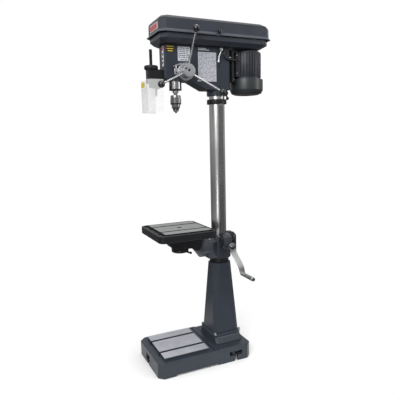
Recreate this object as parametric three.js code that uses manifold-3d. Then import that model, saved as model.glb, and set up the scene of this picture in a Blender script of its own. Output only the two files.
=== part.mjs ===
// Floor-standing drill press, millimetres, +Z up.
// Column axis at X = Y = 0 and floor at Z = 0; +X is the operator's right, -Y the front.
import * as THREE from 'three';
import { mergeVertices } from 'three/addons/utils/BufferGeometryUtils.js';
import { ConvexGeometry } from 'three/addons/geometries/ConvexGeometry.js';
import Module from 'manifold-3d';

// ---- driving dimensions -------------------------------------------------------------
const GAP = 0.3;
const COLUMN_R = 40;
const COLUMN_LOW = 380;
const COLUMN_TOP = 1500;
const BASE = { x: 162, front: -416, rear: 101, top: 78.6, land: 92 };
const FLANGE = { low: 108.3, top: 124 };
const PEDESTAL_TOP = 500;
const RACK = { low: 526, top: 1326, module: 2.5, tip: 50, addendum: 1.6, half: 12 };
const SPINDLE_Y = -226;
const QUILL_R = 30.5;
const QUILL = { low: 1392, top: 1575 };
const FEED = { y: -190, z: 1475, teeth: 16, module: 1.6 };
const TILT_Z = 592;
const TABLE = { x: 157, front: -386, rear: -85, low: 669, rim: 704, face: 707 };
const PINION = { x: 63.4, z: 630, teeth: 12 };
const WORM = { y: 15.5, z: 603, wheelTeeth: 20, module: 1.8 };
const CRANK_R = 143;
const HEAD = { low: 1395, front: 1434, top: 1600 };
const COVER = { low: 1642, wall: 1698, roof: 1719 };
const BELT = { low: 1620, step: 18, front: 1, rear: 2 };
const PULLEY_OUT = { spindle: [83, 68, 53, 38], idler: [38, 53, 68, 83], motor: [73, 58, 43, 28] };
const IDLER_Y = -25;
const MOTOR_Y = 177;
const MOTOR = { low: 1378, cowl: 1454, top: 1596, r: 76.2, cowlR: 86.5 };

const wasm = await Module();
wasm.setup();

// ---- solid helpers ------------------------------------------------------------------
// A closed Manifold from any closed three.js geometry, turned right side out.
function solid(source) {
  const bare = source.clone();
  bare.deleteAttribute('normal');
  bare.deleteAttribute('uv');
  const merged = mergeVertices(bare, 1e-4);
  const index = merged.index.array;
  const pos = merged.attributes.position.array;
  const tris = [];
  for (let i = 0; i < index.length; i += 3) {
    const [a, b, c] = [index[i], index[i + 1], index[i + 2]];
    if (a !== b && b !== c && c !== a) tris.push(a, b, c);
  }
  let volume = 0;
  const at = (k) => new THREE.Vector3().fromArray(pos, 3 * k);
  for (let i = 0; i < tris.length; i += 3) {
    volume += at(tris[i]).dot(at(tris[i + 1]).cross(at(tris[i + 2])));
  }
  if (volume < 0) {
    for (let i = 0; i < tris.length; i += 3) [tris[i], tris[i + 1]] = [tris[i + 1], tris[i]];
  }
  return new wasm.Manifold(new wasm.Mesh({
    numProp: 3,
    vertProperties: new Float32Array(pos),
    triVerts: new Uint32Array(tris),
  }));
}

const join = (...parts) => parts.reduce((a, b) => a.add(b));
const cut = (body, ...tools) => tools.reduce((a, b) => a.subtract(b), body);

// Turns a solid made along Z so that its Z runs along the named axis.
function along(geometry, axis) {
  if (axis === 'x') geometry.applyMatrix4(new THREE.Matrix4().set(0, 0, 1, 0, 1, 0, 0, 0, 0, 1, 0, 0,
    0, 0, 0, 1));
  if (axis === 'y') geometry.applyMatrix4(new THREE.Matrix4().set(1, 0, 0, 0, 0, 0, 1, 0, 0, 1, 0, 0,
    0, 0, 0, 1));
  return geometry;
}

// Prism of a polygon: (x, y) pairs along z, (y, z) along x, (x, z) along y.
function prism(points, from, to, axis = 'z') {
  const shape = new THREE.Shape(points.map(([u, v]) => new THREE.Vector2(u, v)));
  const g = new THREE.ExtrudeGeometry(shape, { depth: to - from, bevelEnabled: false });
  g.translate(0, 0, from);
  return solid(along(g, axis));
}

function box(x0, x1, y0, y1, z0, z1) {
  return prism([[x0, y0], [x1, y0], [x1, y1], [x0, y1]], z0, z1);
}

// Turned piece from (radius, height) pairs; centre gives the two other coordinates.
function turned(profile, centre = [0, 0], axis = 'z', segments = 20) {
  const points = profile.map(([r, h]) => new THREE.Vector2(r, h));
  points.push(points[0].clone());
  const g = new THREE.LatheGeometry(points, segments);
  g.rotateX(Math.PI / 2);
  along(g, axis);
  if (axis === 'z') g.translate(centre[0], centre[1], 0);
  if (axis === 'x') g.translate(0, centre[0], centre[1]);
  if (axis === 'y') g.translate(centre[0], 0, centre[1]);
  return solid(g);
}

const rod = (r, from, to, centre, axis, segments) =>
  turned([[0, from], [r, from], [r, to], [0, to]], centre, axis, segments);
const pipe = (r0, r1, from, to, centre, axis, segments) =>
  turned([[r0, from], [r1, from], [r1, to], [r0, to]], centre, axis, segments);

// Skin through level outlines that all have the same number of corners.
function loft(levels) {
  const pos = [];
  const count = levels[0][1].length;
  const vertex = (k, i) => [...levels[k][1][i % count], levels[k][0]];
  for (let k = 0; k + 1 < levels.length; k += 1) {
    for (let i = 0; i < count; i += 1) {
      const [a, b, c, d] = [vertex(k, i), vertex(k, i + 1), vertex(k + 1, i + 1), vertex(k + 1, i)];
      pos.push(...a, ...b, ...c, ...a, ...c, ...d);
    }
  }
  const faces = THREE.ShapeUtils.triangulateShape(levels[0][1].map(([x, y]) => new THREE.Vector2(x,
    y)), []);
  const last = levels.length - 1;
  for (const [i, j, k] of faces) {
    pos.push(...vertex(0, i), ...vertex(0, k), ...vertex(0, j));
    pos.push(...vertex(last, i), ...vertex(last, j), ...vertex(last, k));
  }
  const g = new THREE.BufferGeometry();
  g.setAttribute('position', new THREE.Float32BufferAttribute(pos, 3));
  return solid(g);
}

// Rectangle with cut corners, counter-clockwise from the front left.
function octagon(x0, x1, y0, y1, c, d = c) {
  return [
    [x0 + c, y0], [x1 - c, y0], [x1, y0 + d], [x1, y1 - d],
    [x1 - c, y1], [x0 + c, y1], [x0, y1 - d], [x0, y0 + d],
  ];
}

// Rectangle with round corners, five points to a corner.
function rounded(x0, x1, y0, y1, r) {
  const corners = [[x1 - r, y0 + r, -90], [x1 - r, y1 - r, 0], [x0 + r, y1 - r, 90],
    [x0 + r, y0 + r, 180]];
  return corners.flatMap(([x, y, from]) => [0, 22.5, 45, 67.5, 90].map((step) => {
    const a = ((from + step) * Math.PI) / 180;
    return [x + r * Math.cos(a), y + r * Math.sin(a)];
  }));
}

function hull(points) {
  return solid(new ConvexGeometry(points.map((p) => new THREE.Vector3(...p))));
}

const ring = (n, f) => Array.from({ length: n }, (_, i) => f((2 * Math.PI * i) / n));

// Sphere-ended or plain straight bar between two points.
function bar(a, b, r, segments = 8) {
  const from = new THREE.Vector3(...a);
  const span = new THREE.Vector3(...b).sub(from);
  const g = new THREE.CylinderGeometry(r, r, span.length(), segments);
  g.translate(0, span.length() / 2, 0);
  g.applyQuaternion(new THREE.Quaternion().setFromUnitVectors(new THREE.Vector3(0, 1, 0),
    span.clone().normalize()));
  g.translate(from.x, from.y, from.z);
  return solid(g);
}

function ball(centre, r, segments = 10) {
  const g = new THREE.SphereGeometry(r, segments, Math.round(segments * 0.7));
  g.translate(...centre);
  return solid(g);
}

// Involute spur outline with thinned teeth, centred on the origin.
function gearOutline(teeth, module, thin, phase = 0) {
  const pitch = (teeth * module) / 2;
  const base = pitch * Math.cos(Math.PI / 9);
  const tip = pitch + module;
  const root = pitch - 1.25 * module;
  const inv = (r) => {
    const a = Math.acos(Math.min(1, base / r));
    return Math.tan(a) - a;
  };
  const half = (r) => ((Math.PI * module) / 2 - thin) / (2 * pitch) + inv(pitch) - inv(r);
  const radii = [Math.max(base, root), pitch + 0.1 * module, tip];
  const points = [];
  for (let i = 0; i < teeth; i += 1) {
    const mid = phase + (2 * Math.PI * i) / teeth;
    const put = (r, a) => points.push([r * Math.cos(mid + a), r * Math.sin(mid + a)]);
    put(root, -half(radii[0]) - 0.02);
    for (const r of radii) put(r, -half(r));
    for (const r of [...radii].reverse()) put(r, half(r));
    put(root, half(radii[0]) + 0.02);
  }
  return points;
}

// Straight rack teeth as (height, reach) pairs measured from the pitch line.
function rackTeeth(low, top, module, addendum, thin) {
  const pitch = Math.PI * module;
  const slope = Math.tan(Math.PI / 9);
  const half = pitch / 4 - thin / 2;
  const points = [];
  for (let h = low + pitch / 2; h < top - pitch * 0.45; h += pitch) {
    points.push([h - half - 1.2 * module * slope, -1.2 * module],
      [h - half + addendum * slope, addendum]);
    points.push([h + half - addendum * slope, addendum], [h + half + 1.2 * module * slope,
      -1.2 * module]);
  }
  return points;
}

const PAINT = [0x3f454f, 0.35, 0.45];
const BLACK = [0x17181a, 0.1, 0.5];
const STEEL = [0xb4b8bc, 0.9, 0.3];
const group = new THREE.Group();
group.name = 'drill_press';

function node(name, body, [color, metalness, roughness]) {
  const made = body.getMesh();
  const g = new THREE.BufferGeometry();
  g.setAttribute('position', new THREE.BufferAttribute(new Float32Array(made.vertProperties), 3));
  g.setIndex(new THREE.BufferAttribute(new Uint32Array(made.triVerts), 1));
  g.computeVertexNormals();
  const mesh = new THREE.Mesh(g, new THREE.MeshStandardMaterial({ color, metalness, roughness }));
  mesh.name = name;
  group.add(mesh);
}

// ---- base, pedestal and column ------------------------------------------------------
function baseCasting() {
  const { x, front, rear, top, land } = BASE;
  let body = loft([[0, octagon(-x, x, front, rear, 25)], [top - 4, octagon(-x, x, front, rear, 25)],
    [top, octagon(-x + 3, x - 3, front + 3, rear - 3, 24)]]);
  body = cut(body, loft([[-1, octagon(-x + 10, x - 10, front + 10, rear - 10, 21)],
    [69, octagon(-x + 11, x - 11, front + 11, rear - 11, 21)]]));
  for (const [x0, x1] of [[-135, -74], [-58, 58], [74, 135]]) {
    body = join(body, box(x0, x1, -378, -137, top - 6, land));
  }
  for (const s of [-1, 1]) body = join(body, box(66 * s - 20, 66 * s + 20, -401, -125, 58, 70));
  body = join(body, box(-7, 7, -406, 92, 20, 70), box(-151, 151, -7, 7, 20, 70),
    rod(34, 0, 70, [0, 0], 'z', 16));
  body = join(body, loft([[top - 6, octagon(-107, 107, -76, 80, 14)], [84, octagon(-107, 107, -76, 80,
    14)],
    [FLANGE.low - GAP, octagon(-88, 88, -73, 76, 12)]]));
  for (const s of [-1, 1]) {
    body = cut(body, box(66 * s - 14, 66 * s + 14, -386, -137, 72, 84),
      box(66 * s - 8, 66 * s + 8, -386, -137, 80, 93));
    body = cut(body, box(150 * s - 14, 150 * s + 14, -327, -94, -1, 9),
      box(156 * s - 8, 156 * s + 8, -30, 45, 30, 53));
    body = cut(body, box(156 * s - 8, 156 * s + 8, 0, 18, -1, 31));
    body = cut(body, prism([[x * s, 69], [x * s + 9 * s, 69], [x * s + 9 * s, 90], [x * s - 10 * s, 90],
      [x * s - 10 * s, 79]], -85, 72, 'y'));
  }
  body = cut(body, box(-150, 150, -113, -107, 74, 80), box(-170, 170, -87, -85, 76.6, 90));
  return cut(body, box(-45, 9, -424, -402, 16, 52), box(-27, -9, -424, -402, -1, 17));
}

function pedestal() {
  const foot = octagon(-86, 86, -80, 82, 16);
  const low = octagon(-73, 73, -73, 73, 12);
  const high = octagon(-54, 54, -54, 54, 31);
  let body = join(loft([[FLANGE.low, foot], [FLANGE.top - 3, foot], [FLANGE.top, octagon(-83, 83, -77,
    79, 15)]]),
    loft([[FLANGE.top - 6, low], [132, low], [PEDESTAL_TOP, high]]));
  body = cut(body, loft([[FLANGE.low - 1, octagon(-60, 60, -60, 60, 10)],
    [372, octagon(-45, 45, -45, 45, 22)]]));
  body = cut(body, rod(32, 371, 400, [0, 0], 'z', 24), rod(COLUMN_R + GAP, COLUMN_LOW, 501, [0, 0],
    'z', 32));
  const bolts = [[-76, -71], [76, -71], [76, 73], [-76, 73]];
  for (const [bx, by] of bolts) body = join(body, rod(8, FLANGE.top - 4, 131, [bx, by], 'z', 6));
  return body;
}

const column = () => pipe(34, COLUMN_R, COLUMN_LOW + GAP, COLUMN_TOP, [0, 0], 'z', 32);

function rackRing(low, high, socketLow) {
  const inner = COLUMN_R + 0.4;
  const [a, b] = socketLow ? [low, low + 8] : [high - 8, high];
  const body = turned([[inner, low], [49.5, low], [50.5, low + 1.5], [50.5, high - 1.5], [49.5, high],
    [inner, high]],
    [0, 0], 'z', 24);
  return cut(body, pipe(30, 47.3, a - (socketLow ? 1 : 0), b + (socketLow ? 0 : 1), [0, 0], 'z', 24));
}

function rack() {
  const { low, top, module, tip, addendum, half } = RACK;
  const pitchX = tip - addendum;
  const start = PINION.z - 13 * Math.PI * module;
  const teeth = rackTeeth(start, top, module, addendum, 0.5).map(([h, r]) => [pitchX + r, h]);
  const back = COLUMN_R + 0.4;
  const outline = [[back, low], [pitchX - 3, low], ...teeth, [pitchX - 3, top], [back, top]];
  return join(prism(outline, -half, half, 'y'), box(back, 45, -9, 9, low - 8, top + 8));
}

// ---- table bracket, lift drive and table --------------------------------------------
function tableBracket() {
  const [low, top] = [524.6, 648];
  let body = turned([[0, low], [58, low], [62, low + 4], [62, top - 4], [58, top], [0, top]], [0, 0],
    'z', 24);
  body = join(body, prism([[-50, 534], [50, 534], [50, 618], [34, 640], [-34, 640], [-50, 618]], -84,
    -20, 'y'));
  body = join(body, rod(55, -112.7, -60, [0, TILT_Z], 'y', 24));
  body = join(body, prism([[45, 548], [93, 548], [93, 636], [78, 655], [45, 655]], -24, 24, 'x'));
  body = join(body, prism([[24, 620], [57, 620], [57, 655], [50, 664], [32, 664]], 22, 40, 'x'));
  const house = [[40, 588], [92, 588], [95, 594], [95, 624], [92, 645], [80, 657], [66, 661],
    [40, 661]];
  body = join(body, prism(house, -19, 28, 'y'));
  const { x, z } = PINION;
  body = cut(body, rod(COLUMN_R + 0.4, 500, 700, [0, 0], 'z', 32), box(30, 51.2, -12.8, 12.8, 500,
    700));
  body = cut(body, box(-2.5, 2.5, 30, 100, 500, 700), rod(6.3, -30, 30, [74, 606], 'x', 10));
  body = cut(body, rod(21, -13, 22, [x, z], 'y', 16), rod(6.4, -17, 29, [x, z], 'y', 10));
  body = cut(body, rod(11.6, 47, 84, [WORM.y, WORM.z], 'x', 12), rod(7.4, 80, 97, [WORM.y, WORM.z],
    'x', 10));
  return cut(body, rod(14.4, -120, -66, [0, TILT_Z], 'y', 16));
}

function tablePinion() {
  const { x, z, teeth } = PINION;
  const shift = (points) => points.map(([u, v]) => [x + u, z + v]);
  const gear = prism(shift(gearOutline(teeth, RACK.module, 0.5, Math.PI)), -11.5, 1.5, 'y');
  const teethOut = ring(WORM.wheelTeeth, (a) => [[16, -0.1], [19.6, -0.035], [19.6, 0.035], [16, 0.1]]
    .map(([r, d]) => [r * Math.cos(a + d), r * Math.sin(a + d)])).flat();
  const wheel = prism(shift(teethOut), 13.2, 18.2, 'y');
  return join(gear, wheel, rod(6, -16.4, 27, [x, z], 'y', 10), rod(11, 1, 14, [x, z], 'y', 12));
}

// Worm shaft: a screw thread wound round the crank spindle.
function crankWorm() {
  const pitch = Math.PI * WORM.module;
  const pos = [];
  const turns = 3;
  const steps = 14;
  const start = PINION.x - 1.75 * pitch;
  const corner = (i, k) => {
    const a = (2 * Math.PI * i) / steps;
    const h = start + (pitch * i) / steps + [-1.7, 1.7, 0.8, -0.8][k];
    const r = [6.4, 6.4, 10.4, 10.4][k];
    return [h, WORM.y + r * Math.cos(a), WORM.z + r * Math.sin(a)];
  };
  const quad = (a, b, c, d) => pos.push(...a, ...b, ...c, ...a, ...c, ...d);
  for (let i = 0; i < turns * steps; i += 1) {
    for (let k = 0; k < 4; k += 1) {
      quad(corner(i, k), corner(i, (k + 1) % 4), corner(i + 1, (k + 1) % 4), corner(i + 1, k));
    }
  }
  const end = turns * steps;
  quad(corner(0, 3), corner(0, 2), corner(0, 1), corner(0, 0));
  quad(corner(end, 0), corner(end, 1), corner(end, 2), corner(end, 3));
  const g = new THREE.BufferGeometry();
  g.setAttribute('position', new THREE.Float32BufferAttribute(pos, 3));
  return join(solid(g), rod(6.8, 51, 112, [WORM.y, WORM.z], 'x', 10));
}

// Flat arm that leans outward past the table edge, then runs straight to the grip.
function crankArm() {
  const away = new THREE.Vector2(0.239, -0.971);
  const place = ([x, along2, side]) =>
    [x, WORM.y + along2 * away.x - side * away.y, WORM.z + along2 * away.y + side * away.x];
  const stations = [[114, -4, 15], [114, 22, 15], [161, 112, 15], [161, CRANK_R + 2, 13],
    [161, CRANK_R + 10, 8]];
  let body = null;
  for (let i = 0; i + 1 < stations.length; i += 1) {
    const corners = [];
    for (const [x, d, w] of [stations[i], stations[i + 1]]) {
      for (const s of [-w, w]) corners.push(place([x, d, s]), place([x + 8, d, s]));
    }
    const piece = hull(corners);
    body = body ? join(body, piece) : piece;
  }
  body = join(body, rod(17, 97.5, 122, [WORM.y, WORM.z], 'x', 16));
  const pin = place([0, CRANK_R, 0]);
  body = join(body, rod(5.5, 165, 266, [pin[1], pin[2]], 'x', 10), rod(9, 266, 269, [pin[1], pin[2]],
    'x', 10));
  return cut(body, rod(7.1, 90, 113, [WORM.y, WORM.z], 'x', 10));
}

function crankGrip() {
  const at = [WORM.y + CRANK_R * 0.239, WORM.z - CRANK_R * 0.971];
  return turned([[5.9, 169.5], [9, 169.5], [11, 174], [11, 258], [9, 265.6], [5.9, 265.6]], at, 'x',
    12);
}

function tableArm() {
  const side = [[-296, 668.6], [-296, 632], [-276, 608], [-262, 600], [-180, 600], [-150, 583],
    [-113, 583],
    [-113, 668.6]];
  const flare = turned([[0, -152], [12, -152], [55, -118], [55, -113], [0, -113]], [0, TILT_Z], 'y',
    32);
  let body = join(prism(side, -44, 44, 'x'), flare, rod(14, -114, -68, [0, TILT_Z], 'y', 20));
  body = join(body, rod(46, 600, 668.6, [0, SPINDLE_Y], 'z', 24));
  return cut(body, rod(18.4, 598, 670, [0, SPINDLE_Y], 'z', 24));
}

function table() {
  const { x, front, rear, low, rim, face } = TABLE;
  const wide = rounded(-x, x, front, rear, 27);
  const narrow = rounded(-x + 2, x - 2, front + 2, rear - 2, 25);
  let body = loft([[low, narrow], [low + 4, wide], [rim - 2, wide], [rim, narrow]]);
  body = cut(body, prism(rounded(-146, 146, -375, -96, 17), 698, 710));
  body = join(body, loft([[690, octagon(-130, 130, -350, -105, 3)], [face, octagon(-130, 130, -350,
    -105, 3)]]));
  body = cut(body, loft([[low - 1, octagon(-x + 11, x - 11, front + 11, rear - 11, 10)],
    [687, octagon(-x + 14, x - 14, front + 14, rear - 14, 10)]]));
  for (const s of [-1, 1]) body = join(body, box(65 * s - 18, 65 * s + 18, -374, -97, 677, 690));
  body = join(body, box(-147, 147, SPINDLE_Y - 6, SPINDLE_Y + 6, 674, 690),
    rod(52, low, 690, [0, SPINDLE_Y], 'z', 20));
  body = join(body, rod(18, 600.3, 690, [0, SPINDLE_Y], 'z', 16));
  for (const s of [-1, 1]) {
    body = cut(body, box(65 * s - 12, 65 * s + 12, -365, -97, 683, 692),
      box(65 * s - 7, 65 * s + 7, -365, -97, 690, 710));
  }
  return cut(body, rod(11, 640, 710, [0, SPINDLE_Y], 'z', 16));
}

function tableLock() {
  const at = [0, SPINDLE_Y];
  const disc = turned([[0, 580], [40, 580], [44, 584], [44, 596], [42, 599.6], [0, 599.6]], at, 'z',
    20);
  return join(disc, bar([36, SPINDLE_Y + 16, 587], [54, SPINDLE_Y + 36, 581], 5),
    ball([54, SPINDLE_Y + 36, 581], 7));
}

function lockLever(x0, x1, y, z, tip, reach) {
  const s = Math.sign(x1 - x0);
  const mid = x1 - 7 * s;
  const body = join(rod(6, Math.min(x0, x1), Math.max(x0, x1), [y, z], 'x', 10),
    rod(11, mid - 7, mid + 7, [y, z], 'x', 10));
  return join(body, bar([mid, y, z], [mid + reach, ...tip], 4.5), ball([mid + reach, ...tip], 8));
}

// ---- head, pulley pan and cover -----------------------------------------------------
function headCasting() {
  const { low, front, top } = HEAD;
  const plan = [[-30, -292], [30, -292], [38, -284], [53, 44], [45, 54], [-45, 54], [-53, 44],
    [-38, -284]];
  const side = [[-293, front + 12], [-262, front + 1], [-155, front], [-77, low], [55, low],
    [55, top], [-293, top]];
  let body = prism(plan, low - 2, top).intersect(prism(side, -60, 60, 'x'));
  const inset = [[-24, -282], [24, -282], [30, -276], [34, -262], [34, -200], [43, 26], [34, 38],
    [-34, 38], [-43, 26],
    [-34, -200], [-34, -262], [-30, -276]];
  body = cut(body, prism(inset, 1447, top + 1));
  body = join(body, rod(37.5, front + 2, top - 8, [0, SPINDLE_Y], 'z', 24),
    rod(48, low, 1512, [0, 0], 'z', 24));
  body = join(body, rod(50.5, 1369, low + 2, [0, 0], 'z', 24));
  body = join(body, rod(18, -40, 40, [FEED.y, FEED.z], 'x', 16), box(-44, 44, -70, -52, 1520, 1596));
  body = join(body, rod(36, 20, 44.2, [FEED.y, FEED.z], 'x', 20), rod(36, -44, -20, [FEED.y, FEED.z],
    'x', 20));
  body = join(body, box(-48, 48, 26, 48, 1520, 1596));
  body = cut(body, rod(QUILL_R + 0.4, low, top + 1, [0, SPINDLE_Y], 'z', 32));
  body = cut(body, rod(COLUMN_R + 0.4, 1300, COLUMN_TOP + GAP, [0, 0], 'z', 32));
  body = cut(body, rod(15.9, -11, 60, [FEED.y, FEED.z], 'x', 16), rod(8.4, -60, 0, [FEED.y, FEED.z],
    'x', 12));
  for (const s of [-1, 1]) body = cut(body, rod(10.4, -80, 60, [36 * s, 1555], 'y', 16));
  body = cut(body, rod(5.4, 44, 60, [0, 1588], 'x', 10), rod(5, 44, 60, [-9, 1508], 'x', 10));
  return cut(body, rod(6.3, 38, 60, [22, 1378], 'x', 10), rod(5, 44, 60, [-10, 1410], 'x', 10));
}

function pulleyPan() {
  const low = octagon(-75, 75, -313, 228, 30);
  const mid = octagon(-97, 97, -324, 259, 27);
  const lowIn = octagon(-72, 72, -310, 225, 29);
  const midIn = octagon(-94, 94, -321, 256, 26);
  let body = loft([[HEAD.top + GAP, low], [1619, mid], [1641, mid]]);
  body = cut(body, loft([[HEAD.top + 3.3, lowIn], [1620, midIn], [1642, midIn]]));
  body = cut(body, rod(24, 1590, 1610, [0, SPINDLE_Y], 'z', 16), rod(9, 1590, 1610, [0, IDLER_Y], 'z',
    12));
  const slot = hull([-10, 1].flatMap((d) => ring(16,
    (a) => [16 * Math.cos(a), MOTOR_Y + d + 16 * Math.sin(a), 0]))
    .flatMap(([x, y]) => [[x, y, 1590], [x, y, 1610]]));
  return cut(body, slot);
}

function beltCover() {
  const wall = (x, y0, y1, c) => octagon(-x, x, y0, y1, c);
  const lip = octagon(-109, 109, -336, 271, 24);
  let body = loft([[COVER.low, lip], [COVER.low + 3, lip]]);
  body = join(body, loft([[COVER.low, wall(105, -332, 268, 27)], [COVER.low + 14, wall(101, -328, 267,
    26)],
    [COVER.wall, wall(100, -328, 266, 26)], [COVER.wall + 8, wall(97, -325, 260, 26)],
    [COVER.roof, octagon(-80, 80, -311, 233, 22)]]));
  body = cut(body, loft([[COVER.low - 1, wall(102, -329, 265, 26)], [COVER.low + 14, wall(98, -325,
    264, 25)],
    [COVER.wall, wall(97, -325, 263, 25)], [COVER.wall + 6, wall(94, -322, 257, 25)],
    [COVER.roof - 3, octagon(-78, 78, -309, 231, 21)]]));
  return body;
}

function coverKnob() {
  return turned([[0, 101.9], [5, 101.9], [5, 106], [9, 109], [11, 114], [9, 121], [0, 123]],
    [-35, 1658], 'x', 10);
}

// ---- pulleys and belts --------------------------------------------------------------
function pulley(radii, y, hub, boss = [[hub, BELT.low]]) {
  const points = [...boss];
  radii.forEach((r, k) => {
    const z = BELT.low + BELT.step * k;
    points.push([r, z], [r, z + 3], [r - 9, z + 9], [r, z + 15], [r, z + BELT.step]);
  });
  points.push([hub, BELT.low + BELT.step * radii.length]);
  return turned(points, [0, y], 'z', 14);
}

// V belt round two pulleys that share a groove level.
function belt(level, y0, r0, y1, r1) {
  const mid = BELT.low + BELT.step * (level + 0.5);
  const tilt = Math.asin((r1 - r0) / (y1 - y0));
  const centres = [];
  const count = 12;
  for (let i = 0; i <= count; i += 1) {
    const a = -Math.PI + tilt + ((Math.PI - 2 * tilt) * i) / count;
    centres.push([y0, r0, a]);
  }
  for (let i = 0; i <= count; i += 1) {
    const a = -tilt + ((Math.PI + 2 * tilt) * i) / count;
    centres.push([y1, r1, a]);
  }
  const corner = ([y, r, a], k) => {
    const reach = r + [-6, -6, 0, 0][k];
    const h = mid + [-1.4, 1.4, 5.4, -5.4][k];
    return [reach * Math.cos(a), y + reach * Math.sin(a), h];
  };
  const pos = [];
  const n = centres.length;
  for (let i = 0; i < n; i += 1) {
    for (let k = 0; k < 4; k += 1) {
      const [a, b] = [corner(centres[i], k), corner(centres[i], (k + 1) % 4)];
      const [c, d] = [corner(centres[(i + 1) % n], (k + 1) % 4), corner(centres[(i + 1) % n], k)];
      pos.push(...a, ...b, ...c, ...a, ...c, ...d);
    }
  }
  const g = new THREE.BufferGeometry();
  g.setAttribute('position', new THREE.Float32BufferAttribute(pos, 3));
  return solid(g);
}

// ---- quill, spindle, chuck and feed -------------------------------------------------
function quill() {
  const pitchY = FEED.y - (FEED.teeth * FEED.module) / 2;
  const start = FEED.z - 3 * Math.PI * FEED.module;
  const teeth = rackTeeth(start, 1570, FEED.module, 1.3, 0.35).map(([h, r]) => [pitchY + r, h]);
  const { low, top } = QUILL;
  let body = turned([[0, low], [QUILL_R - 1, low], [QUILL_R, low + 1], [QUILL_R, top], [0, top]],
    [0, SPINDLE_Y], 'z', 32);
  const away = [...teeth, [pitchY - 2, 1580], [-180, 1580], [-180, 1455], [pitchY - 2, 1455]];
  body = cut(body, prism(away, -40, 40, 'x'));
  return cut(body, rod(12.3, low - 1, top + 1, [0, SPINDLE_Y], 'z', 16));
}

function spindle() {
  const profile = [[0, 1345], [8, 1345], [9.5, 1372], [10, 1379], [14.5, 1379], [14.5, 1391.6],
    [12, 1391.6],
    [12, 1576], [9, 1580], [9, 1696], [0, 1696]];
  return turned(profile, [0, SPINDLE_Y], 'z', 16);
}

function chuckBody() {
  const cone = [[0, 1340], [15, 1340], [15, 1329.3], [26.6, 1329.3], [26.6, 1324], [14, 1296],
    [13, 1290], [0, 1290]];
  let body = turned([...cone].reverse(), [0, SPINDLE_Y], 'z', 20);
  body = join(body, rod(15, 1330, 1367, [0, SPINDLE_Y], 'z', 16));
  body = cut(body, rod(10.4, 1343, 1368, [0, SPINDLE_Y], 'z', 16));
  return cut(body, rod(9.5, 1280, 1337, [0, SPINDLE_Y], 'z', 20));
}

function chuckSleeve() {
  const profile = [[15.4, 1329.7], [27, 1329.7], [27, 1352], [25, 1366], [24, 1367], [15.4, 1367]];
  let body = turned(profile, [0, SPINDLE_Y], 'z', 20);
  for (let i = 0; i < 3; i += 1) {
    const a = (2 * Math.PI * i) / 3;
    const [x, y] = [29 * Math.cos(a), SPINDLE_Y + 29 * Math.sin(a)];
    body = cut(body, rod(3.2, 1340, 1349, [x, y], 'z', 6));
  }
  return body;
}

function chuckJaw(i) {
  const a = (2 * Math.PI * i) / 3;
  const u = (r, t) => [r * Math.cos(a) - t * Math.sin(a),
    SPINDLE_Y + r * Math.sin(a) + t * Math.cos(a)];
  const low = [[0.9, 0], [2.6, 2.4], [6, 2.4], [6, -2.4], [2.6, -2.4]];
  return prism(low.map(([r, t]) => u(r, t)), 1282, 1326);
}

function pinionShaft() {
  const at = [FEED.y, FEED.z];
  const outline = gearOutline(FEED.teeth, FEED.module, 0.35, Math.PI).map(([u, v]) => [at[0] + u,
    at[1] + v]);
  const gear = prism(outline, -9, 9, 'x');
  const right = turned([[0, 0], [8, 0], [8, 24], [15.4, 24.5], [15.4, 44.4], [8, 44.4], [8, 72],
    [0, 72]], at, 'x', 16);
  return join(gear, right, rod(8, -55, 1, at, 'x', 12));
}

const SPOKES = [95, -25, -145].map((deg) => (deg * Math.PI) / 180);
const spokePoint = (a, x, r) => [x, FEED.y - r * Math.cos(a), FEED.z + r * Math.sin(a)];

function feedHub() {
  const at = [FEED.y, FEED.z];
  const profile = [[0, 58.3], [29, 58.3], [31.5, 61], [31.5, 92], [28, 96], [0, 96]];
  let body = cut(turned(profile, at, 'x', 20), rod(8.3, 50, 72.5, at, 'x', 12),
    rod(6, 90, 97, at, 'x', 10));
  for (const a of SPOKES) body = cut(body, bar(spokePoint(a, 77.2, 17), spokePoint(a, 92, 50), 5.4));
  return body;
}

const spoke = (a) => bar(spokePoint(a, 77.6, 18), spokePoint(a, 143, 163.5), 5);
const knob = (a) => cut(ball(spokePoint(a, 150, 179), 16.5, 12), bar(spokePoint(a, 126.6, 127),
  spokePoint(a, 143.3, 164.2), 5.4));

function depthCollar() {
  const at = [FEED.y, FEED.z];
  const body = turned([[16.1, 44.6], [42, 44.6], [42, 55], [40, 57.9], [16.1, 57.9]], at, 'x', 24);
  const post = bar([50.5, FEED.y - 49, 1484], [50.5, FEED.y - 47, 1502], 3.6);
  const lever = bar([50.5, FEED.y - 62, 1496], [50.5, FEED.y - 22, 1513], 3.4);
  return join(body, box(45.4, 55, FEED.y - 60, FEED.y - 39, 1459, 1488), post, lever);
}

function springCover() {
  const profile = [[8.6, -58], [34, -58], [37, -55], [37, -44.4], [33.5, -44.4], [33.5, -54.5],
    [8.6, -54.5]];
  return turned(profile, [FEED.y, FEED.z], 'x', 20);
}

// Flat clock spring wound between the pinion shaft and the cup.
function returnSpring() {
  const [outer, inner] = [[], []];
  const count = 40;
  for (let i = 0; i <= count; i += 1) {
    const a = (2 * Math.PI * 4.5 * i) / count;
    const r = 10.5 + (21 * i) / count;
    outer.push([FEED.y + (r + 0.6) * Math.cos(a), FEED.z + (r + 0.6) * Math.sin(a)]);
    inner.push([FEED.y + (r - 0.6) * Math.cos(a), FEED.z + (r - 0.6) * Math.sin(a)]);
  }
  return prism([...outer, ...inner.reverse()], -53, -45, 'x');
}

// ---- chuck guard --------------------------------------------------------------------
function guardBracket() {
  const body = prism([[-22, -363], [-16, -369], [16, -369], [22, -363], [22, -292.4], [-22, -292.4]],
    1421, 1484);
  return cut(body, rod(7.9, 1410, 1500, [0, -347], 'z', 16));
}

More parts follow.
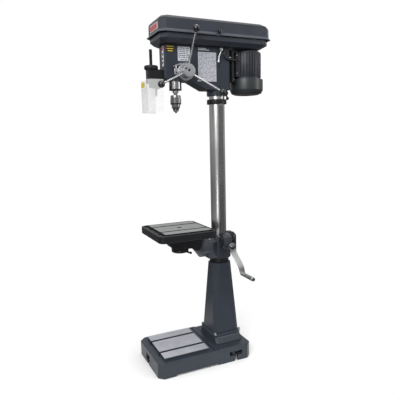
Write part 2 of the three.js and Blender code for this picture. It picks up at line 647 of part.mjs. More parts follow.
const guardRing = () => cut(turned([[7.9, 1484.3], [30, 1484.3], [33, 1487], [33, 1499], [30, 1502],
  [7.9, 1502]],
  [0, -347], 'z', 16));

const guardRod = () => rod(7.5, 1407, 1577, [0, -347], 'z', 16);

function guardArm() {
  const outline = [[-11, -358], [11, -358], [11, -304], [-62, -294.5], [-79, -294.5], [-79, -307],
    [-11, -316]];
  const body = cut(prism(outline, 1400, 1418), rod(7.8, 1406.7, 1420, [0, -347], 'z', 16));
  return join(body, rod(4, 1369, 1432, [-71, -301], 'z', 10));
}

function guardShield() {
  const outside = [[-62, -310], [-62, -373], [-50, -385], [50, -385], [62, -373], [62, -310]];
  const inside = [[59, -310], [59, -371.5], [48.5, -382], [-48.5, -382], [-59, -371.5], [-59, -310]];
  let body = prism([...outside, ...inside], 1283, 1434);
  for (const [low, high] of [[1372, 1396], [1421, 1431]]) {
    body = join(body, prism([[-77, -307], [-77, -295], [-65, -295], [-60, -312], [-60, -322],
      [-62, -322]], low, high));
  }
  return cut(body, rod(4.4, 1360, 1440, [-71, -301], 'z', 10));
}

// ---- motor --------------------------------------------------------------------------
function motorBody() {
  const at = [0, MOTOR_Y];
  const fins = ring(18, (a) => [[70, -0.11], [MOTOR.r, -0.09], [MOTOR.r, 0.06], [70, 0.08]]
    .map(([r, d]) => [r * Math.cos(a + d), MOTOR_Y + r * Math.sin(a + d)])).flat();
  let body = join(prism(fins, MOTOR.cowl + 7, 1588), rod(74, MOTOR.cowl + GAP, MOTOR.cowl + 8, at,
    'z', 24));
  body = join(body, turned([[0, 1586], [74, 1586], [74, 1591], [66, 1595], [44, MOTOR.top],
    [0, MOTOR.top]], at, 'z', 24));
  body = join(body, box(-40, 40, 100.8, 140, 1462, 1586));
  body = join(body, box(-88, -60, 156, 201, 1500, 1560));
  return cut(body, rod(9, 1560, 1600, at, 'z', 12));
}

function fanCowl() {
  const { low, cowl: top, cowlR: r } = MOTOR;
  const profile = [[30, low], [62, low], [78, low + 6], [r, low + 22], [r, top], [68, top],
    [68, top - 4.4],
    [r - 3, top - 4.4], [r - 3, low + 24], [76, low + 9], [61, low + 3], [30, low + 3]];
  return turned(profile, [0, MOTOR_Y], 'z', 28);
}

const motorPulley = () => join(pulley(PULLEY_OUT.motor, MOTOR_Y, 0),
  rod(8.6, 1562, 1630, [0, MOTOR_Y], 'z', 12));
const spindlePulley = () => pulley(PULLEY_OUT.spindle, SPINDLE_Y, 9.4, [[9.4, 1603], [20, 1603], [20,
  BELT.low]]);
const idlerPulley = () => pulley(PULLEY_OUT.idler, IDLER_Y, 8.4);

function idlerPost() {
  return turned([[0, 1604.2], [20, 1604.2], [20, 1616], [8, 1619], [8, 1699], [0, 1699]],
    [0, IDLER_Y], 'z', 12);
}

function motorPlate() {
  let body = join(box(-49, 49, 64.4, 76, 1436, 1593), box(-45, 45, 90, 100.5, 1462, 1588));
  for (const s of [-1, 1]) {
    for (const z of [1471, 1558]) body = join(body, rod(9, 70, 92, [30 * s, z], 'y', 10));
    body = cut(body, rod(7.3, 60, 80, [36 * s, 1555], 'y', 10));
  }
  return body;
}

const slideBar = (s) => join(rod(10, -62, 64, [36 * s, 1555], 'y', 16), rod(7, 60, 75, [36 * s, 1555],
  'y', 10));

function tensionLever() {
  const body = join(rod(5, 45, 56, [0, 1588], 'x', 10), rod(9, 53, 61, [0, 1588], 'x', 10));
  return join(body, bar([57, 0, 1588], [58, -17, 1526], 3.5), ball([58, -17, 1524], 7, 8));
}

function motorCable() {
  const points = [[53.1, 34, 1589], [59, 33, 1589], [64, 20, 1583], [65, 11, 1568], [64, 18, 1552],
    [62, 38, 1543], [60, 66, 1541], [57.5, 84, 1543], [52, 94, 1545], [45.7, 95, 1545]];
  const path = new THREE.CatmullRomCurve3(points.map((p) => new THREE.Vector3(...p)));
  const shape = new THREE.Shape(ring(6, (a) => new THREE.Vector2(4.6 * Math.cos(a),
    4.6 * Math.sin(a))));
  return solid(new THREE.ExtrudeGeometry(shape, { steps: 18, extrudePath: path, bevelEnabled: false }));
}

function switchBox() {
  const plan = [[-41.6, -272], [-41.6, -212], [-62, -212], [-66, -216], [-66, -268], [-62, -272]];
  const body = prism(plan, 1518, 1592);
  return cut(body, rod(9.3, -67, -53, [-242, 1574], 'x', 12), rod(9.3, -67, -53, [-242, 1538], 'x',
    12));
}

const button = (z, reach) => turned([[0, -56.4], [9, -56.4], [9, -66 - reach + 2], [7, -66 - reach],
  [0, -66 - reach]],
  [-242, z], 'x', 12);

// ---- assembly -----------------------------------------------------------------------
node('base_casting', baseCasting(), PAINT);
node('pedestal', pedestal(), PAINT);
node('column', column(), STEEL);
node('lower_rack_ring', rackRing(PEDESTAL_TOP + GAP, 524, false), BLACK);
node('upper_rack_ring', rackRing(1328, 1350, true), BLACK);
node('rack', rack(), BLACK);
node('table_bracket', tableBracket(), BLACK);
node('table_pinion', tablePinion(), STEEL);
node('crank_worm', crankWorm(), STEEL);
node('crank_arm', crankArm(), STEEL);
node('crank_grip', crankGrip(), [0x6d7276, 0.8, 0.35]);
node('table_arm', tableArm(), BLACK);
node('table', table(), BLACK);
node('table_lock', tableLock(), BLACK);
node('column_lock_lever', lockLever(31, -42, 74, 606, [112, 566], -6), BLACK);
node('head_casting', headCasting(), PAINT);
node('head_lock_lever', lockLever(41, 66, 22, 1378, [30, 1352], 2), BLACK);
node('pulley_pan', pulleyPan(), PAINT);
node('belt_cover', beltCover(), PAINT);
node('cover_knob', coverKnob(), BLACK);
node('spindle_pulley', spindlePulley(), [0x9a9da0, 0.8, 0.4]);
node('idler_pulley', idlerPulley(), [0x9a9da0, 0.8, 0.4]);
node('motor_pulley', motorPulley(), [0x9a9da0, 0.8, 0.4]);
node('idler_post', idlerPost(), STEEL);
node('front_belt', belt(1, SPINDLE_Y, 68, IDLER_Y, 53), BLACK);
node('rear_belt', belt(2, IDLER_Y, 68, MOTOR_Y, 43), BLACK);
node('quill', quill(), STEEL);
node('spindle', spindle(), STEEL);
node('chuck_body', chuckBody(), STEEL);
node('chuck_sleeve', chuckSleeve(), STEEL);
for (let i = 0; i < 3; i += 1) node(`chuck_jaw_${i + 1}`, chuckJaw(i), STEEL);
node('pinion_shaft', pinionShaft(), STEEL);
node('feed_hub', feedHub(), STEEL);
SPOKES.forEach((a, i) => {
  node(`spoke_${i + 1}`, spoke(a), STEEL);
  node(`knob_${i + 1}`, knob(a), BLACK);
});
node('depth_collar', depthCollar(), STEEL);
node('spring_cover', springCover(), STEEL);
node('return_spring', returnSpring(), STEEL);
node('guard_bracket', guardBracket(), BLACK);
node('guard_ring', guardRing(), BLACK);
node('guard_rod', guardRod(), BLACK);
node('guard_arm', guardArm(), BLACK);
node('guard_shield', guardShield(), [0xdde6ec, 0, 0.1]);
node('motor_body', motorBody(), BLACK);
node('fan_cowl', fanCowl(), BLACK);
node('motor_plate', motorPlate(), BLACK);
node('slide_bar_left', slideBar(-1), STEEL);
node('slide_bar_right', slideBar(1), STEEL);
node('tension_lever', tensionLever(), STEEL);
node('motor_cable', motorCable(), BLACK);
node('switch_box', switchBox(), BLACK);
node('stop_button', button(1574, 6), [0xa51d18, 0, 0.4]);
node('start_button', button(1538, 3), [0x1d7a35, 0, 0.4]);

export default group;
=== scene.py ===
import math
import random

import bmesh
import bpy
from mathutils import Matrix, Vector


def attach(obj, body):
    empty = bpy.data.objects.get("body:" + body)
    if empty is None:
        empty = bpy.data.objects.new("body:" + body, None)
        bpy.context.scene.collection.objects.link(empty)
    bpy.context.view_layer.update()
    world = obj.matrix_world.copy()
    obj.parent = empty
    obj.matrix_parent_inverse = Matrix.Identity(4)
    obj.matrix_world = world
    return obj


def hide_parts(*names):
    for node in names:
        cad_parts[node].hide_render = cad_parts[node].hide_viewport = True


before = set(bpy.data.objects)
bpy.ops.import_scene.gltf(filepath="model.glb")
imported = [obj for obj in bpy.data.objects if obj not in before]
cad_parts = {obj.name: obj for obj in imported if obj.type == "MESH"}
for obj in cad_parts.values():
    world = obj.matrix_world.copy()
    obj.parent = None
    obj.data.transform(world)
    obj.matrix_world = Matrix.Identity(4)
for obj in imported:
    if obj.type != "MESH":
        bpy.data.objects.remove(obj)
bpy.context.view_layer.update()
random.seed(4)
MM = 0.001
SPINDLE = (0.0, -226.0)
FEED = (-190.0, 1475.0)
MOTOR_Y = 177.0
IDLER_Y = -25
GUARD_Y = -347
CRANK_HUB = (15.5, 603.0)
CRANK_WAY = (0.239, -0.971)
CRANK_REACH = 143.0
PULLEY_LOW, PULLEY_STEP = 1620, 18

# The head's right side starts at this (x, y) and leans out by SIDE_RISE over SIDE_RUN.
SIDE_START = (38, -284)
SIDE_RISE, SIDE_RUN = 15, 328

# Camera fitted to the photograph: place in metres, then azimuth, pitch and roll in degrees.
CAMERA_PLACE = (2.00568, -1.02912, 1.15255)
CAMERA_TURN = (65.3, -8.07, -1.28)
CAMERA_LENS = 38.6154

# Places in metres where one finish ends and the next begins on a CAD piece. The bracket boss and lip bounds
# start a painted highlight, the roof bound a painted shade.
LAND_Z = 0.0915
FLANGE_Z = (0.1225, 0.132)
FLANGE_CORNER = (0.067, 0.062)
BRACKET_BOSS_HIGHLIGHT_Y = -0.058
ARM_BOSS_Y = -0.148
TABLE_TOP_Z = 0.7065
LIP_HIGHLIGHT_Z = (1.6425, 1.6575)
ROOF_SHADE_Z = 1.6985


# ---- camera, floor and light ---------------------------------------------------------
def camera():
    az, pitch, roll = (math.radians(turn) for turn in CAMERA_TURN)
    look = Vector((-math.sin(az) * math.cos(pitch), math.cos(az) * math.cos(pitch), math.sin(pitch)))
    right = Vector((math.cos(az), math.sin(az), 0))
    up = right.cross(look)
    x_axis = right * math.cos(roll) + up * math.sin(roll)
    y_axis = up * math.cos(roll) - right * math.sin(roll)
    data = bpy.data.cameras.new("camera")
    data.sensor_width = 36
    data.lens = CAMERA_LENS
    obj = bpy.data.objects.new("camera", data)
    basis = Matrix((x_axis, y_axis, -look)).transposed().to_4x4()
    basis.translation = Vector(CAMERA_PLACE)
    obj.matrix_world = basis
    bpy.context.scene.collection.objects.link(obj)
    bpy.context.scene.camera = obj


def light(name, place, target, size, power):
    data = bpy.data.lights.new(name, "AREA")
    data.shape = "RECTANGLE"
    data.size, data.size_y = size
    data.energy = power
    obj = bpy.data.objects.new(name, data)
    obj.location = place
    obj.rotation_euler = (Vector(target) - Vector(place)).to_track_quat("-Z", "Y").to_euler()
    bpy.context.scene.collection.objects.link(obj)


def studio():
    """White to the eye and dimmer to the metal, with a pale floor that thins out into it."""
    world = bpy.data.worlds.new("studio")
    world.use_nodes = True
    nodes, links = world.node_tree.nodes, world.node_tree.links
    path = nodes.new("ShaderNodeLightPath")
    power = nodes.new("ShaderNodeMapRange")
    power.inputs["To Max"].default_value = 1.02
    links.new(path.outputs["Is Camera Ray"], power.inputs["Value"])
    way = nodes.new("ShaderNodeTexCoord")
    parts = nodes.new("ShaderNodeSeparateXYZ")
    dome = nodes.new("ShaderNodeMapRange")
    for socket, value in (("From Min", -0.3), ("From Max", 0.6), ("To Min", 0.1), ("To Max", 0.78)):
        dome.inputs[socket].default_value = value
    links.new(way.outputs["Generated"], parts.inputs["Vector"])
    links.new(parts.outputs["Z"], dome.inputs["Value"])
    links.new(dome.outputs["Result"], power.inputs["To Min"])
    links.new(power.outputs["Result"], nodes["Background"].inputs["Strength"])
    nodes["Background"].inputs["Color"].default_value = (1.0, 1.0, 1.0, 1)
    bpy.context.scene.world = world
    bm = bmesh.new()
    bmesh.ops.create_grid(bm, x_segments=1, y_segments=1, size=6)
    mesh = bpy.data.meshes.new("floor")
    bm.to_mesh(mesh)
    floor = bpy.data.objects.new("floor", mesh)
    floor.location.z = -0.0005
    bpy.context.scene.collection.objects.link(floor)
    floor.data.materials.append(floor_material())
    light("key", (2.1, -2.1, 2.7), (0, -0.1, 1.3), (1.5, 1.5), 60)
    light("side", (2.4, 3.4, 1.7), (0, 0, 0.9), (1.2, 3.0), 46)
    light("top", (0.2, 0.2, 4.2), (0, 0, 1.0), (2.2, 2.2), 46)
    light("low", (1.5, -1.2, 0.5), (0.02, -0.02, 0.66), (0.5, 0.3), 4)
    bpy.context.scene.view_settings.view_transform = "Standard"


def floor_material():
    mat = bpy.data.materials.new("floor")
    mat.use_nodes = True
    nodes, links = mat.node_tree.nodes, mat.node_tree.links
    shader = nodes["Principled BSDF"]
    shader.inputs["Base Color"].default_value = (0.94, 0.94, 0.94, 1)
    shader.inputs["Roughness"].default_value = 0.95
    shader.inputs["Specular IOR Level"].default_value = 0.1
    place = nodes.new("ShaderNodeTexCoord")
    scale = nodes.new("ShaderNodeMapping")
    scale.inputs["Location"].default_value = (0, 0.13, 0)
    scale.inputs["Scale"].default_value = (0.8, 0.8, 0.8)
    disc = nodes.new("ShaderNodeTexGradient")
    disc.gradient_type = "SPHERICAL"
    fade = nodes.new("ShaderNodeMapRange")
    fade.inputs["From Min"].default_value = 0.3
    fade.inputs["From Max"].default_value = 0.74
    links.new(place.outputs["Object"], scale.inputs["Vector"])
    links.new(scale.outputs["Vector"], disc.inputs["Vector"])
    links.new(disc.outputs["Fac"], fade.inputs["Value"])
    links.new(fade.outputs["Result"], shader.inputs["Alpha"])
    return mat


# ---- materials -----------------------------------------------------------------------
def material(name, colour, metallic=0.0, rough=0.4, spread=0.12, grain=(60, 60, 60), bump=0.05,
             coat=0.0, patch=9.0, specular=0.5):
    """Principled finish whose colour, roughness and relief vary by grain and by larger patches."""
    mat = bpy.data.materials.new(name)
    mat.use_nodes = True
    tree = mat.node_tree
    nodes, links = tree.nodes, tree.links
    shader = nodes["Principled BSDF"]
    place = nodes.new("ShaderNodeTexCoord")
    scale = nodes.new("ShaderNodeMapping")
    scale.inputs["Scale"].default_value = grain
    fine = nodes.new("ShaderNodeTexNoise")
    fine.inputs["Scale"].default_value = 10
    fine.inputs["Detail"].default_value = 5
    wide = nodes.new("ShaderNodeTexNoise")
    wide.inputs["Scale"].default_value = patch
    wide.inputs["Detail"].default_value = 3
    links.new(place.outputs["Object"], scale.inputs["Vector"])
    links.new(scale.outputs["Vector"], fine.inputs["Vector"])
    links.new(place.outputs["Object"], wide.inputs["Vector"])
    ramp = nodes.new("ShaderNodeValToRGB")
    low = [c * (1 - spread) for c in colour[:3]]
    high = [min(1, c * (1 + spread) + 0.004) for c in colour[:3]]
    ramp.color_ramp.elements[0].position, ramp.color_ramp.elements[1].position = 0.3, 0.7
    ramp.color_ramp.elements[0].color = (*low, 1)
    ramp.color_ramp.elements[1].color = (*high, 1)
    blend = nodes.new("ShaderNodeMath")
    blend.operation = "ADD"
    half = nodes.new("ShaderNodeMath")
    half.operation = "MULTIPLY"
    half.inputs[1].default_value = 0.5
    links.new(fine.outputs["Fac"], blend.inputs[0])
    links.new(wide.outputs["Fac"], blend.inputs[1])
    links.new(blend.outputs[0], half.inputs[0])
    links.new(half.outputs[0], ramp.inputs["Fac"])
    links.new(ramp.outputs["Color"], shader.inputs["Base Color"])
    gloss = nodes.new("ShaderNodeMapRange")
    gloss.inputs["To Min"].default_value = max(0.03, rough - 0.09)
    gloss.inputs["To Max"].default_value = rough + 0.09
    links.new(half.outputs[0], gloss.inputs["Value"])
    links.new(gloss.outputs["Result"], shader.inputs["Roughness"])
    relief = nodes.new("ShaderNodeBump")
    relief.inputs["Strength"].default_value = bump
    relief.inputs["Distance"].default_value = 0.0006
    links.new(fine.outputs["Fac"], relief.inputs["Height"])
    links.new(relief.outputs["Normal"], shader.inputs["Normal"])
    shader.inputs["Metallic"].default_value = metallic
    shader.inputs["Specular IOR Level"].default_value = specular
    shader.inputs["Coat Weight"].default_value = coat
    shader.inputs["Coat Roughness"].default_value = 0.25
    return mat


def clear_material():
    mat = material("guard_clear", (0.97, 0.98, 0.98), rough=0.14, spread=0.03, bump=0.01, patch=4)
    shader = mat.node_tree.nodes["Principled BSDF"]
    shader.inputs["Alpha"].default_value = 0.3
    shader.inputs["Transmission Weight"].default_value = 0.0
    return mat


def make_materials():
    """Every finish by name: paints, some with lighter or darker copies as painted highlight or shade, then
    bare and plated metals, then plastics and prints.
    """
    paints = {
        "slate": material("slate_enamel", (0.028, 0.035, 0.048), rough=0.4, spread=0.18, bump=0.07,
                          coat=0.08, specular=0.3),
        "sheet": material("slate_sheet", (0.032, 0.037, 0.051), rough=0.32, spread=0.12, bump=0.02,
                          coat=0.15, specular=0.35),
        # lip: a lighter copy of the cover paint, a painted highlight along the flare above the flange
        "lip": material("lip_enamel", (0.07, 0.078, 0.1), rough=0.32, spread=0.14, bump=0.02, coat=0.2),
        # roof: a darker copy of the cover paint, painted shade on the top and upper wall
        "roof": material("roof_enamel", (0.016, 0.018, 0.026), rough=0.34, spread=0.14, bump=0.02, coat=0.1,
                         specular=0.3),
        "cast_black": material("black_enamel", (0.009, 0.0095, 0.012), rough=0.42, spread=0.25, bump=0.1,
                               coat=0.04, specular=0.28),
        "bracket": material("bracket_enamel", (0.021, 0.025, 0.034), rough=0.34, spread=0.2, bump=0.1,
                            coat=0.35, specular=0.4),
        # Tilt bosses: slate paint, lightened as a painted highlight where the boss tops catch light
        "boss": material("boss_slate_with_painted_highlight", (0.05, 0.058, 0.076), rough=0.36, spread=0.2, bump=0.1, coat=0.3),
        "black": material("blackened_steel", (0.012, 0.012, 0.013), metallic=0.3, rough=0.36, spread=0.25,
                          bump=0.06),
        "motor": material("motor_paint", (0.026, 0.03, 0.04), rough=0.44, spread=0.16, bump=0.06,
                          coat=0.05),
        "cowl": material("cowl_paint", (0.024, 0.029, 0.032), rough=0.4, spread=0.12, bump=0.05, coat=0.08),
        "land": material("painted_land", (0.42, 0.43, 0.47), metallic=0.3, rough=0.45, spread=0.2,
                         bump=0.12, patch=16),
    }
    metals = {
        "ground": material("ground_iron", (0.3, 0.305, 0.305), metallic=0.5, rough=0.42, spread=0.12,
                           grain=(60, 5, 60), bump=0.04),
        # Column colour streaked lengthwise: painted reflections on the polished steel
        "column": material("column_steel", (0.48, 0.485, 0.48), metallic=1.0, rough=0.32, spread=0.42,
                           grain=(11, 11, 0.15), bump=0.05, patch=3.0),
        "steel": material("turned_steel", (0.38, 0.385, 0.39), metallic=1.0, rough=0.22, spread=0.12,
                          grain=(20, 20, 90), bump=0.006),
        "rack": material("rack_steel", (0.27, 0.27, 0.265), metallic=0.9, rough=0.38, spread=0.2,
                         bump=0.06),
        "hub": material("satin_alloy", (0.46, 0.47, 0.49), metallic=0.85, rough=0.36, spread=0.07,
                        bump=0.06),
        "chrome": material("bright_plate", (0.5, 0.505, 0.52), metallic=1.0, rough=0.28, spread=0.08,
                           bump=0.004),
        "chuck": material("chuck_steel", (0.27, 0.275, 0.28), metallic=0.95, rough=0.28, spread=0.12,
                          grain=(20, 20, 90), bump=0.006),
        "arm": material("crank_plate", (0.5, 0.505, 0.515), metallic=0.95, rough=0.36, spread=0.14,
                        bump=0.05),
        "pulley": material("turned_alloy", (0.6, 0.6, 0.61), metallic=1.0, rough=0.3, spread=0.1,
                           bump=0.03),
    }
    others = {
        "plastic": material("black_plastic", (0.007, 0.0075, 0.01), rough=0.42, spread=0.25, bump=0.09,
                            specular=0.3),
        "knob": material("black_phenolic", (0.009, 0.009, 0.01), rough=0.16, spread=0.2, bump=0.01,
                         coat=0.4),
        "rubber": material("belt_rubber", (0.012, 0.012, 0.012), rough=0.75, spread=0.2, bump=0.2),
        "cable": material("cable_sheath", (0.009, 0.009, 0.01), rough=0.4, spread=0.2, bump=0.05),
        "red": material("red_plastic", (0.42, 0.02, 0.018), rough=0.3, spread=0.08, bump=0.02),
        "green": material("green_plastic", (0.02, 0.2, 0.05), rough=0.3, spread=0.08, bump=0.02),
        "yellow": material("yellow_print", (0.75, 0.55, 0.03), rough=0.5, spread=0.06, bump=0.01),
        "white": material("white_print", (0.78, 0.78, 0.8), rough=0.45, spread=0.04, bump=0.01),
        "pink": material("red_print", (0.5, 0.1, 0.11), rough=0.45, spread=0.1, bump=0.01),
        "clear": clear_material(),
        "plate": material("plate_print", (0.6, 0.61, 0.67), rough=0.4, spread=0.05, bump=0.01),
        "ink": material("print_ink", (0.1, 0.105, 0.13), rough=0.5, spread=0.2, bump=0.01),
    }
    return {**paints, **metals, **others}


# ---- mesh helpers --------------------------------------------------------------------
def finish_mesh(name, bm, mat, angle=32, bevel=0.0, segments=2):
    bmesh.ops.recalc_face_normals(bm, faces=bm.faces)
    mesh = bpy.data.meshes.new(name)
    bm.to_mesh(mesh)
    bm.free()
    obj = bpy.data.objects.new(name, mesh)
    bpy.context.scene.collection.objects.link(obj)
    mesh.materials.append(mat)
    shade(obj, angle)
    if bevel:
        round_edges(obj, bevel, segments)
    return obj


def shade(obj, angle=32):
    for poly in obj.data.polygons:
        poly.use_smooth = True
    obj.data.set_sharp_from_angle(angle=math.radians(angle))


def round_edges(obj, width, segments=2, limit=35):
    mod = obj.modifiers.new("edge", "BEVEL")
    mod.width = width * MM
    mod.segments = segments
    mod.limit_method = "ANGLE"
    mod.angle_limit = math.radians(limit)
    mod.use_clamp_overlap = True
    mod.harden_normals = False


def put(obj, body, slot, *nodes):
    """Rides a piece on its body and hides the CAD nodes it stands for; the finish slot is not used."""
    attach(obj, body)
    if nodes:
        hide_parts(*nodes)
    return obj


def keep(node, mat, bevel=0.0, segments=2, angle=32, limit=35):
    """A CAD node that stays, with its finish and a small edge radius."""
    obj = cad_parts[node]
    obj.data.materials.clear()
    obj.data.materials.append(mat)
    shade(obj, angle)
    if bevel:
        round_edges(obj, bevel, segments, limit)
    return obj


AXES = {
    "z": lambda r, h, c, s, o: (o[0] + r * c, o[1] + r * s, h),
    "x": lambda r, h, c, s, o: (h, o[0] + r * c, o[1] + r * s),
    "y": lambda r, h, c, s, o: (o[0] + r * c, h, o[1] + r * s),
}


def bridge(bm, rows):
    """Joins closed rows of vertices into a skin and caps both ends."""
    for a, b in zip(rows, rows[1:]):
        for k in range(len(a)):
            j = (k + 1) % len(a)
            bm.faces.new((a[k], a[j], b[j], b[k]))
    bm.faces.new(rows[0][::-1])
    bm.faces.new(rows[-1])


def lathe(name, profile, mat, centre=(0, 0), axis="z", steps=64, angle=32, wave=None):
    """Turned piece from a closed loop of (radius, height) pairs in millimetres."""
    bm = bmesh.new()
    rings = []
    for r, h in profile:
        ring = []
        for i in range(steps):
            a = 2 * math.pi * i / steps
            reach = wave(r, h, i) if wave else r
            ring.append(bm.verts.new(Vector(AXES[axis](reach, h, math.cos(a), math.sin(a), centre)) * MM))
        rings.append(ring)
    for k in range(len(rings)):
        a, b = rings[k], rings[(k + 1) % len(rings)]
        if profile[k][0] < 1e-6 and profile[(k + 1) % len(rings)][0] < 1e-6:
            continue
        for i in range(steps):
            j = (i + 1) % steps
            bm.faces.new((a[i], a[j], b[j], b[i]))
    bmesh.ops.remove_doubles(bm, verts=bm.verts, dist=1e-7)
    return finish_mesh(name, bm, mat, angle)


def fillet(profile, radius=1.0, count=3):
    """Rounds the convex corners of a (radius, height) loop that lie off the axis."""
    out = []
    n = len(profile)
    for i, (r, h) in enumerate(profile):
        if r < 1e-6:
            out.append((r, h))
            continue
        p, a, b = Vector((r, h)), Vector(profile[i - 1]), Vector(profile[(i + 1) % n])
        da, db = a - p, b - p
        cut = min(radius, da.length * 0.45, db.length * 0.45)
        if cut < 0.05 or abs(da.normalized().cross(db.normalized())) < 0.2:
            out.append((r, h))
            continue
        s, e = p + da.normalized() * cut, p + db.normalized() * cut
        for k in range(count + 1):
            t = k / count
            q = s * (1 - t) ** 2 + p * (2 * t * (1 - t)) + e * t ** 2
            out.append((q.x, q.y))
    return out


def tube(name, points, radius, mat, sides=16, taper=None):
    """Round bar along a smooth path in millimetres, capped at both ends."""
    pts = [Vector(p) * MM for p in points]
    bm = bmesh.new()
    rings = []
    normal = None
    for i, p in enumerate(pts):
        ahead = (pts[min(i + 1, len(pts) - 1)] - pts[max(i - 1, 0)]).normalized()
        if normal is None:
            seed = Vector((0, 0, 1)) if abs(ahead.z) < 0.9 else Vector((1, 0, 0))
            normal = ahead.cross(seed).normalized()
        normal = (normal - ahead * normal.dot(ahead)).normalized()
        side = ahead.cross(normal)
        r = (taper[i] if taper else radius) * MM
        rings.append([bm.verts.new(p + (normal * math.cos(2 * math.pi * k / sides)
                                        + side * math.sin(2 * math.pi * k / sides)) * r)
                      for k in range(sides)])
    bridge(bm, rings)
    return finish_mesh(name, bm, mat, 50)


def smooth_path(points, per=8):
    """Catmull-Rom points through the given ones."""
    pts = [Vector(p) for p in points]
    pts = [pts[0] * 2 - pts[1]] + pts + [pts[-1] * 2 - pts[-2]]
    out = []
    for i in range(1, len(pts) - 2):
        a, b, c, d = pts[i - 1:i + 3]
        for k in range(per):
            t = k / per
            out.append(0.5 * (2 * b + (c - a) * t + (2 * a - 5 * b + 4 * c - d) * t ** 2
                              + (3 * b - a - 3 * c + d) * t ** 3))
    out.append(pts[-2])
    return out


def slab(name, corners, normal, thickness, mat, bevel=0.3):
    """Thin plate on a flat face: its corners in order, raised along the face's normal."""
    up = Vector(normal).normalized() * thickness
    bm = bmesh.new()
    low = [bm.verts.new(Vector(c) * MM) for c in corners]
    high = [bm.verts.new((Vector(c) + up) * MM) for c in corners]
    bm.faces.new(low[::-1])
    bm.faces.new(high)
    for i in range(len(low)):
        j = (i + 1) % len(low)
        bm.faces.new((low[i], low[j], high[j], high[i]))
    return finish_mesh(name, bm, mat, 40, bevel, 2)


def hex_bolt(name, centre, axis, mat, across=13, height=5, socket=True):
    """Cap or hexagon screw head standing on a face, facing along +axis."""
    bm = bmesh.new()
    direction = Vector(axis).normalized()
    seed = Vector((0, 0, 1)) if abs(direction.z) < 0.9 else Vector((1, 0, 0))
    u = direction.cross(seed).normalized()
    v = direction.cross(u)
    levels = [(across / 2, 0), (across / 2, height * 0.8), (across / 2 - 1, height)]
    sides = 24 if socket else 6
    if socket:
        levels += [(across * 0.27, height), (across * 0.27, height * 0.45)]
    rings = []
    for r, h in levels:
        level = Vector(centre) + direction * h
        rings.append([bm.verts.new((level + (u * math.cos(2 * math.pi * k / sides)
                                             + v * math.sin(2 * math.pi * k / sides)) * r) * MM)
                      for k in range(sides)])
    bridge(bm, rings)
    return finish_mesh(name, bm, mat, 30)


# ---- base, column, table -------------------------------------------------------------
def stand(m):
    base = keep("base_casting", m["slate"], 2.2, 3)
    base.data.materials.append(m["land"])
    for poly in base.data.polygons:
        c = poly.center
        if poly.normal.z > 0.9 and c.z > LAND_Z:
            poly.material_index = 1
    pedestal = keep("pedestal", m["slate"], 1.8, 3)
    pedestal.data.materials.append(m["steel"])
    for poly in pedestal.data.polygons:
        c = poly.center
        if FLANGE_Z[0] < c.z < FLANGE_Z[1] and abs(c.x) > FLANGE_CORNER[0] and abs(c.y) > FLANGE_CORNER[1]:
            poly.material_index = 1
    column = lathe("column_tube", fillet([(40, 380.3), (40, 1500), (34, 1500), (34, 380.3)], 0.8),
                   m["column"], steps=96)
    put(column, "stand", "column_steel", "column")
    for name, low, high, top in (("lower", 500.3, 524, True), ("upper", 1328, 1350, False)):
        if top:
            profile = [(40.4, low), (50.5, low), (50.5, high), (47.3, high), (47.3, high - 8),
                       (40.4, high - 8)]
        else:
            profile = [(40.4, low + 8), (47.3, low + 8), (47.3, low), (50.5, low), (50.5, high),
                       (40.4, high)]
        ring = lathe(name + "_ring", fillet(profile, 1.4), m["cast_black"], steps=80)
        put(ring, "stand", "black_paint", name + "_rack_ring")
    keep("rack", m["rack"], 0.25, 1)


def table_group(m):
    bracket = keep("table_bracket", m["bracket"], 1.8, 3)
    # The bracket's boss faces get a lighter copy of the bracket paint, a painted highlight.
    bracket.data.materials.append(m["boss"])
    for poly in bracket.data.polygons:
        if poly.center.y < BRACKET_BOSS_HIGHLIGHT_Y:
            poly.material_index = 1
    put(hex_bolt("tilt_stop", (35.2, -76, 634), (0.643, 0, 0.766), m["steel"], 13, 6), "bracket",
        "bright_steel")
    arm = keep("table_arm", m["cast_black"], 2.0, 3)
    # The arm's tilt disc is slate, and the boss paint lightens it further as a painted highlight.
    arm.data.materials.append(m["boss"])
    for poly in arm.data.polygons:
        if poly.center.y > ARM_BOSS_Y:
            poly.material_index = 1
    table = keep("table", m["cast_black"], 1.2, 2)
    table.data.materials.append(m["ground"])
    for poly in table.data.polygons:
        if poly.normal.z > 0.9 and poly.center.z > TABLE_TOP_Z:
            poly.material_index = 1
    keep("table_pinion", m["steel"], 0.2, 1)
    keep("crank_worm", m["steel"], 0.2, 1)
    keep("table_lock", m["black"], 0.8, 2)
    keep("column_lock_lever", m["black"], 0.6, 2)


